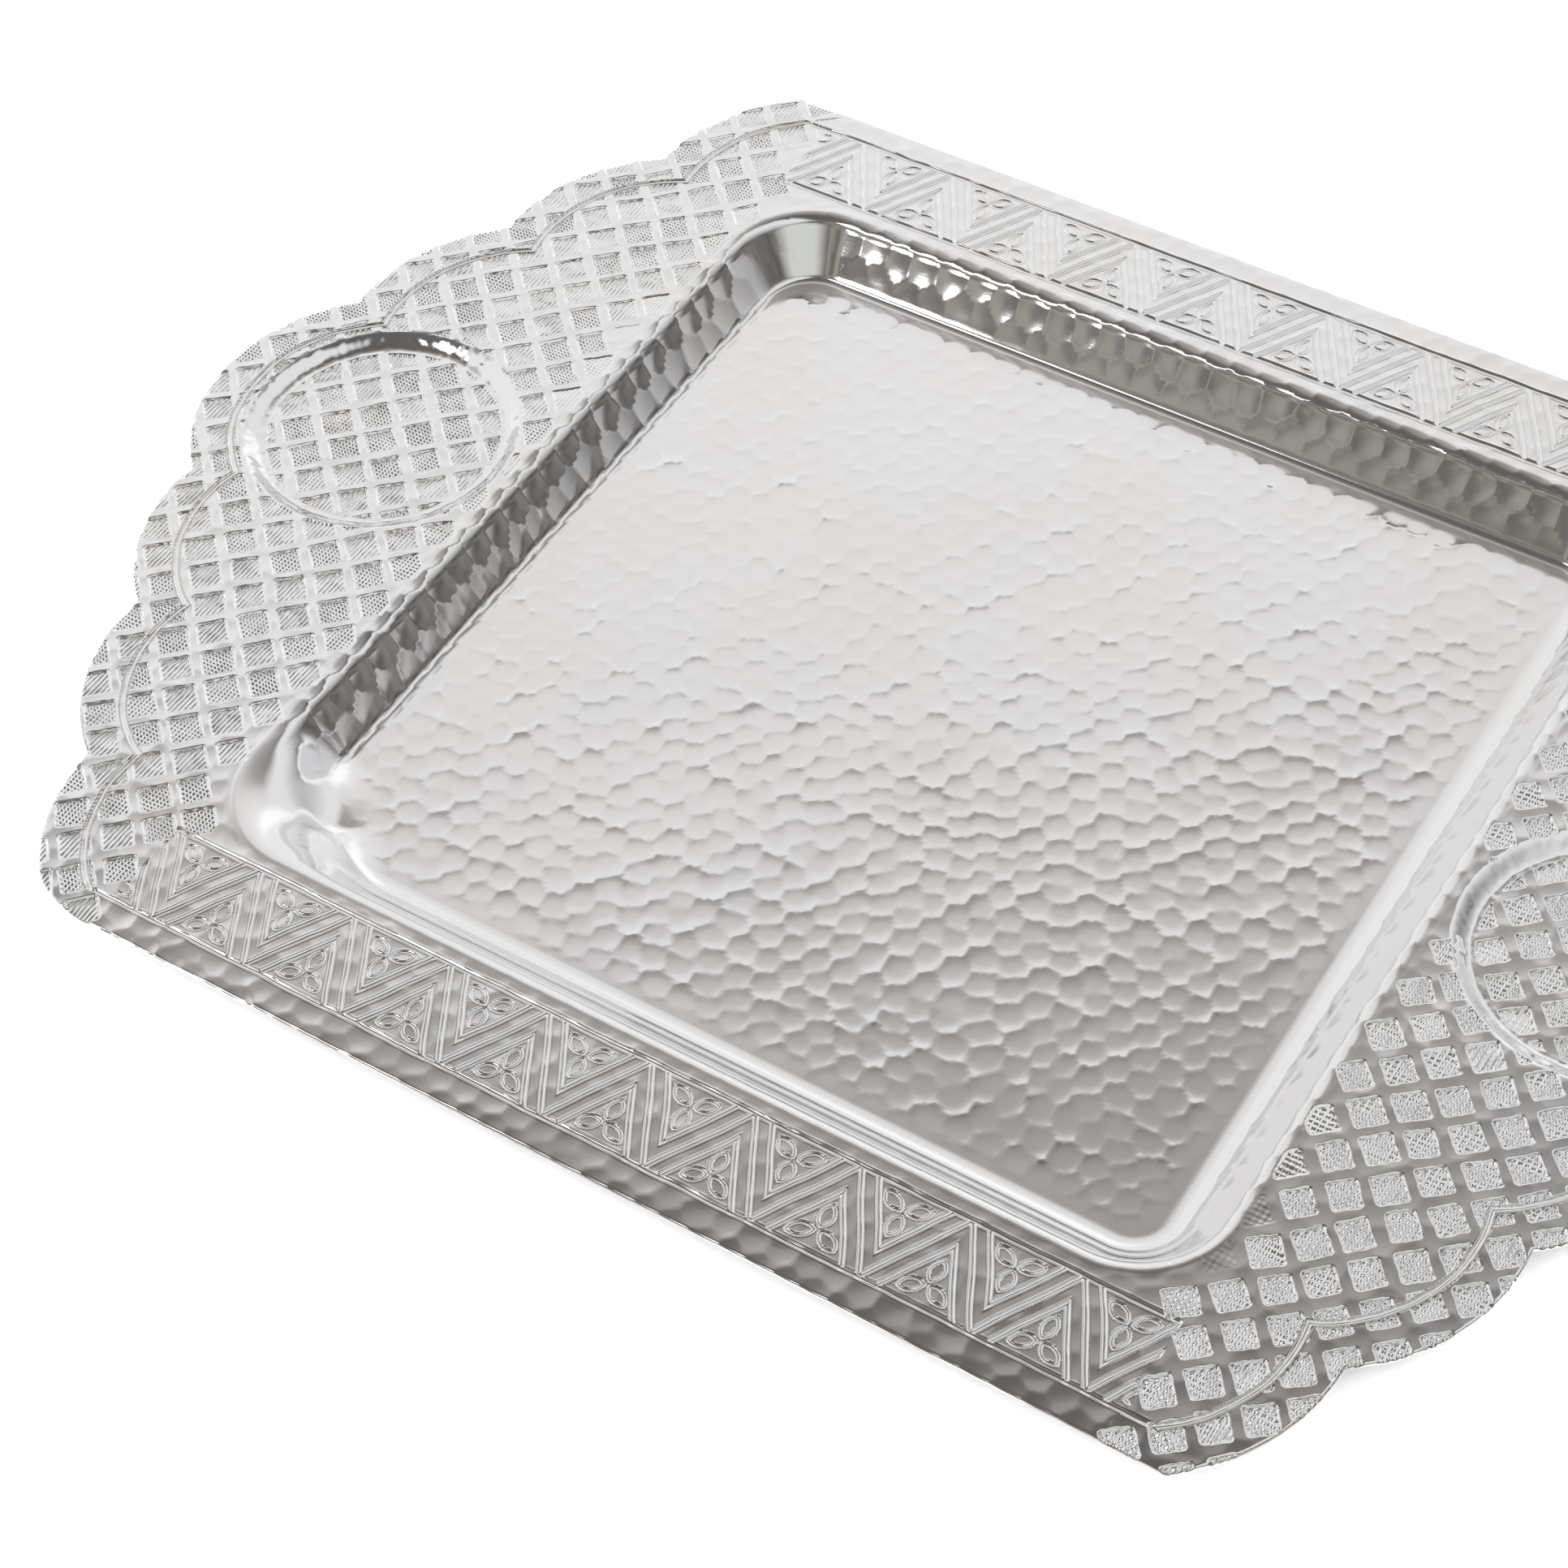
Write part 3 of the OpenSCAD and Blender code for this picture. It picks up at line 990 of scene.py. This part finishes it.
def make_cups():
    for side, sign in (("left", -1), ("right", 1)):
        centre = sign * CUP_X
        shell("tray_cup_recess_" + side, "cup_recess_" + side, in_cup,
              (centre - CUP_HOLE_R, -CUP_HOLE_R), (centre + CUP_HOLE_R, CUP_HOLE_R),
              FINE, chased_plate)


make_floor()
make_walls()
make_rims()
make_wings()
make_cups()


# ---------- Stage, light and camera ----------

def plain_material(name, colour, roughness):
    material = bpy.data.materials.new(name)
    material.use_nodes = True
    shader = material.node_tree.nodes["Principled BSDF"]
    shader.inputs["Base Color"].default_value = (*colour, 1)
    shader.inputs["Roughness"].default_value = roughness
    return material


def rectangle(name, size_x, size_y):
    mesh = bpy.data.meshes.new(name)
    hx, hy = size_x / 2, size_y / 2
    mesh.from_pydata([(-hx, -hy, 0), (hx, -hy, 0), (hx, hy, 0), (-hx, hy, 0)], [], [(0, 1, 2, 3)])
    piece = bpy.data.objects.new(name, mesh)
    bpy.context.scene.collection.objects.link(piece)
    return piece


STAGE_FLOOR_SIZE = 30
STAGE_WHITE = (0.9, 0.9, 0.91)
# The gap keeps the stage floor and the underside of the tray out of one plane.
FLOOR_GAP = 0.0003


def make_floor_plane():
    plane = rectangle("stage_floor", STAGE_FLOOR_SIZE, STAGE_FLOOR_SIZE)
    plane.location.z = -FLOOR_GAP
    plane.data.materials.append(plain_material("stage_white", STAGE_WHITE, roughness=0.9))


def area_light(name, place, target, size, power, seen_in_metal):
    """A round lamp at a place, turned towards a target. The camera doesn't see it."""
    light = bpy.data.lights.new(name, "AREA")
    light.shape = "DISK"
    light.size = size
    light.energy = power
    lamp = bpy.data.objects.new(name, light)
    bpy.context.scene.collection.objects.link(lamp)
    lamp.location = place
    lamp.rotation_euler = (Vector(target) - Vector(place)).to_track_quat("-Z", "Y").to_euler()
    lamp.visible_camera = False
    lamp.visible_glossy = seen_in_metal


def make_lights():
    """A soft fill that the metal doesn't mirror, and two lamps at the front left that it does."""
    area_light("fill", (0, 0, 2.6), (0, 0, 0), size=5, power=540, seen_in_metal=False)
    area_light("glint", (-0.50, -0.72, 0.33), (-0.06, 0.14, 0.01),
               size=0.12, power=0.25, seen_in_metal=True)
    area_light("lantern", (-0.64, -0.68, 1.08), (-0.19, 0.04, 0.02),
               size=0.66, power=1.8, seen_in_metal=True)


def map_range(tree, source, low, high, to_low=0.0, to_high=1.0):
    """A value moved from one range to another, and held within it."""
    node = tree.nodes.new("ShaderNodeMapRange")
    node.inputs["From Min"].default_value = low
    node.inputs["From Max"].default_value = high
    node.inputs["To Min"].default_value = to_low
    node.inputs["To Max"].default_value = to_high
    link(tree, source, node.inputs["Value"])
    return node.outputs["Result"]


MOST_WARMTH = 0.09


def lamp_tone(brightness):
    """A light grey that turns warmer as it gets dimmer."""
    warmth = MOST_WARMTH * max(0.0, 1 - brightness)
    return (brightness, brightness * (1 - warmth / 2), brightness * (1 - warmth))


def stops_between(low, high, stops, tone=grey):
    """Ramp stops from (value, brightness) pairs on a scale from low to high."""
    return [((value - low) / (high - low), tone(brightness)) for value, brightness in stops]


CEILING_HEIGHT = 1.12
CEILING_X = (-4.0, 3.0)
CEILING_Y = (-0.85, 4.5)
# The gap is sheared: between these x it moves by these distances in y.
GAP_SHEAR_X = (-0.70, 0.16)
GAP_SHEAR_Y = (0.12, -0.55)
# Brightness across the gap from front to back, how much of the gap is there from left to right,
# and how the ceiling fades out from left to right
GLOW_BY_Y = [(-0.30, 0.14), (-0.05, 0.2), (0.1, 0.31), (0.3, 0.38), (0.45, 0.44),
             (0.58, 0.6), (0.75, 0.8), (1.1, 0.86), (1.6, 0.93), (2.3, 1.15)]
GLOW_OUTSIDE_GAP = 0.93
GAP_SHARE_BY_X = [(-1.2, 0.0), (-0.85, 1.0), (0.1, 1.0), (0.35, 0.0)]
GLOW_BY_X = [(-0.35, 1.0), (0.0, 0.94), (0.7, 0.92), (1.4, 0.6), (2.6, 0.25)]


def make_soft_ceiling():
    """A large glowing sheet above, with a dim gap across it, that fades out to the right."""
    sheet = rectangle("stage_soft_ceiling", CEILING_X[1] - CEILING_X[0], CEILING_Y[1] - CEILING_Y[0])
    sheet.location = (sum(CEILING_X) / 2, sum(CEILING_Y) / 2, CEILING_HEIGHT)
    sheet.rotation_euler = (math.pi, 0, 0)
    sheet.visible_camera = False
    sheet.visible_shadow = False
    material = bpy.data.materials.new("stage_glow")
    material.use_nodes = True
    tree = material.node_tree
    tree.nodes.clear()
    place = tree.nodes.new("ShaderNodeNewGeometry").outputs["Position"]
    axes = tree.nodes.new("ShaderNodeSeparateXYZ")
    link(tree, place, axes.inputs["Vector"])
    shear = map_range(tree, axes.outputs["X"], *GAP_SHEAR_X, *GAP_SHEAR_Y)
    across = tree.nodes.new("ShaderNodeMath")
    link(tree, axes.outputs["Y"], across.inputs[0])
    link(tree, shear, across.inputs[1])
    on_x_scale = map_range(tree, axes.outputs["X"], *CEILING_X)
    on_y_scale = map_range(tree, across.outputs["Value"], *CEILING_Y)
    by_y = ramp_node(tree, on_y_scale, stops_between(*CEILING_Y, GLOW_BY_Y, lamp_tone))
    by_x = ramp_node(tree, on_x_scale, stops_between(*CEILING_X, GLOW_BY_X))
    gap_share = ramp_node(tree, on_x_scale, stops_between(*CEILING_X, GAP_SHARE_BY_X))
    brightness = mix_colour(tree, gap_share, (*grey(GLOW_OUTSIDE_GAP), 1), by_y)
    glow = tree.nodes.new("ShaderNodeEmission")
    link(tree, mix_colour(tree, 1.0, brightness, by_x, "MULTIPLY"), glow.inputs["Color"])
    output = tree.nodes.new("ShaderNodeOutputMaterial")
    link(tree, glow.outputs["Emission"], output.inputs["Surface"])
    sheet.data.materials.append(material)


FRONT_OF_ROOM = (0.26, 0.245, 0.225)
RIGHT_OF_ROOM = (0.17, 0.16, 0.15)
CLUTTER_SCALE = 7
CLUTTER_STOPS = [(0.38, grey(0.6)), (0.64, grey(1.4))]
WINDOW = (0.70, 0.72, 0.70)
WINDOW_DIRECTION = (0.64, -0.77, 0.0)
WINDOW_EDGE = (0.76, 0.9)
BACKDROP = (1.0, 1.0, 1.0)
BACKDROP_FOOT = (0.70, 0.71, 0.74)
BACKDROP_BY_HEIGHT = [(0.15, BACKDROP_FOOT), (0.18, BACKDROP)]
BACKDROP_DIRECTION = (-0.57, 0.82, 0.0)
BACKDROP_EDGE = (0.1, 0.25)


def share_towards(tree, direction, towards, edge):
    """0 to 1 as the direction turns towards a given one, over the edge's range of their dot product."""
    dot = tree.nodes.new("ShaderNodeVectorMath")
    dot.operation = "DOT_PRODUCT"
    dot.inputs[1].default_value = towards
    link(tree, direction, dot.inputs[0])
    return map_range(tree, dot.outputs["Value"], *edge)


def make_room():
    """A white backdrop to the back and left, and a dim room with a window to the front and right."""
    world = bpy.data.worlds.new("room")
    bpy.context.scene.world = world
    world.use_nodes = True
    tree = world.node_tree
    direction = tree.nodes.new("ShaderNodeTexCoord").outputs["Generated"]
    axes = tree.nodes.new("ShaderNodeSeparateXYZ")
    link(tree, direction, axes.inputs["Vector"])
    to_right = map_range(tree, axes.outputs["X"], 0.0, 0.8)
    room = mix_colour(tree, to_right, (*FRONT_OF_ROOM, 1), (*RIGHT_OF_ROOM, 1))
    clutter_noise = noise_node(tree, direction, CLUTTER_SCALE, detail=3, roughness=0.55)
    clutter = ramp_node(tree, clutter_noise, CLUTTER_STOPS)
    room = mix_colour(tree, 1.0, room, clutter, "MULTIPLY")
    window = share_towards(tree, direction, WINDOW_DIRECTION, WINDOW_EDGE)
    room = mix_colour(tree, window, room, (*WINDOW, 1))
    backdrop = ramp_node(tree, axes.outputs["Z"], BACKDROP_BY_HEIGHT)
    in_backdrop = share_towards(tree, direction, BACKDROP_DIRECTION, BACKDROP_EDGE)
    brightness = mix_colour(tree, in_backdrop, room, backdrop)
    link(tree, brightness, tree.nodes["Background"].inputs["Color"])


CAMERA_AZIMUTH = math.radians(34.6)
CAMERA_ELEVATION = math.radians(49.55)
CAMERA_ROLL = math.radians(3.43)
CAMERA_DISTANCE = 0.922
CAMERA_TARGET = Vector((-0.0181, -0.0563, RIM_TOP * MM))
CAMERA_LENS = 81.6
SENSOR_W = 36


def make_camera():
    data = bpy.data.cameras.new("camera")
    data.lens = CAMERA_LENS
    data.sensor_width = SENSOR_W
    camera = bpy.data.objects.new("camera", data)
    bpy.context.scene.collection.objects.link(camera)
    back = Vector((math.sin(CAMERA_AZIMUTH) * math.cos(CAMERA_ELEVATION),
                   -math.cos(CAMERA_AZIMUTH) * math.cos(CAMERA_ELEVATION),
                   math.sin(CAMERA_ELEVATION)))
    level = (-back).to_track_quat("-Z", "Y").to_matrix()
    rolled = level @ Matrix.Rotation(-CAMERA_ROLL, 3, "Z")
    place = Matrix.Translation(CAMERA_TARGET + back * CAMERA_DISTANCE)
    camera.matrix_world = place @ rolled.to_4x4()
    bpy.context.scene.camera = camera


make_floor_plane()
make_soft_ceiling()
make_room()
make_lights()
make_camera()
bpy.context.scene.view_settings.view_transform = "Standard"
